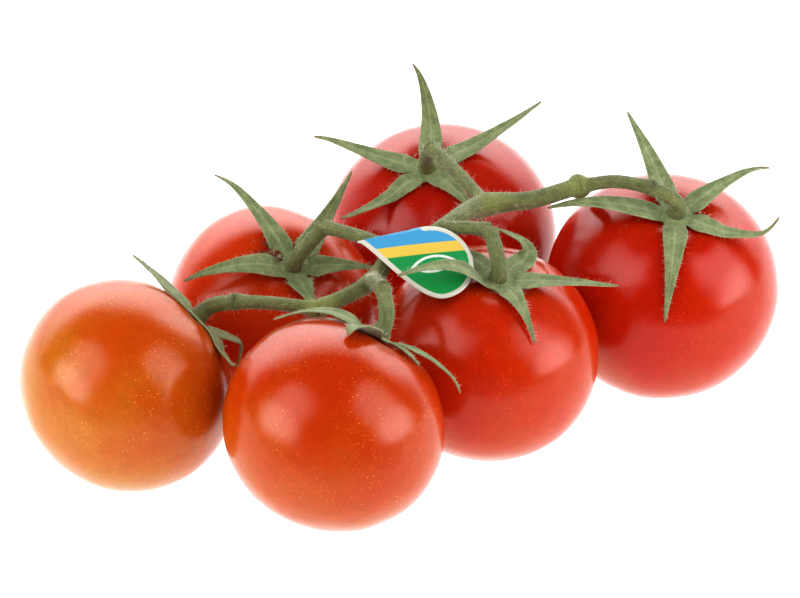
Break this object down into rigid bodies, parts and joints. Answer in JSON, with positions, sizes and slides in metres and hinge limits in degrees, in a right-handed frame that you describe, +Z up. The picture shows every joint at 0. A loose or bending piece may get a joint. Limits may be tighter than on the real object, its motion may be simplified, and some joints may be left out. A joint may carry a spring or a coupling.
{
  "type": "truss tomatoes",
  "caption": "Cluster of round ripe tomatoes still joined on one cut green truss stem, each with a star of sepals, standing on flat spots, with a drop-shaped paper tag folded over the stem.",
  "frame": {"origin": "on the table, under the centre of the whole cluster's box", "axes": "+Z up from the table the fruits stand on, +X along the cluster's long side towards the cut end of the truss stem, +Y from the fruit in front towards the large fruit at the back"},
  "size_m": [0.2032, 0.1788, 0.0839],
  "materials": {
    "skin_middle": "gloss",
    "skin_front": "gloss",
    "skin_back_left": "gloss",
    "skin_left": "gloss",
    "skin_back": "gloss",
    "skin_right": "gloss",
    "stem_green": "matte",
    "sepal_green": "matte",
    "tag_paper": "satin"
  },
  "bodies": {
    "root": {"paper_tag": "tag_paper", "sepal_back_1": "sepal_green", "sepal_back_2": "sepal_green", "sepal_back_3": "sepal_green", "sepal_back_4": "sepal_green", "sepal_back_5": "sepal_green", "sepal_back_left_1": "sepal_green", "sepal_back_left_2": "sepal_green", "sepal_back_left_3": "sepal_green", "sepal_back_left_4": "sepal_green", "sepal_back_left_5": "sepal_green", "sepal_front_1": "sepal_green", "sepal_front_2": "sepal_green", "sepal_front_3": "sepal_green", "sepal_front_4": "sepal_green", "sepal_front_5": "sepal_green", "sepal_left_1": "sepal_green", "sepal_left_2": "sepal_green", "sepal_left_3": "sepal_green", "sepal_left_4": "sepal_green", "sepal_left_5": "sepal_green", "sepal_middle_1": "sepal_green", "sepal_middle_2": "sepal_green", "sepal_middle_3": "sepal_green", "sepal_middle_4": "sepal_green", "sepal_middle_5": "sepal_green", "sepal_right_1": "sepal_green", "sepal_right_2": "sepal_green", "sepal_right_3": "sepal_green", "sepal_right_4": "sepal_green", "sepal_right_5": "sepal_green", "stalk_back": "stem_green", "stalk_back_left": "stem_green", "stalk_front": "stem_green", "stalk_left": "stem_green", "stalk_middle": "stem_green", "stalk_right": "stem_green", "tomato_back": "skin_back", "tomato_back_left": "skin_back_left", "tomato_front": "skin_front", "tomato_left": "skin_left", "tomato_middle": "skin_middle", "tomato_right": "skin_right", "truss_stem": "stem_green"}
  },
  "joints": []
}
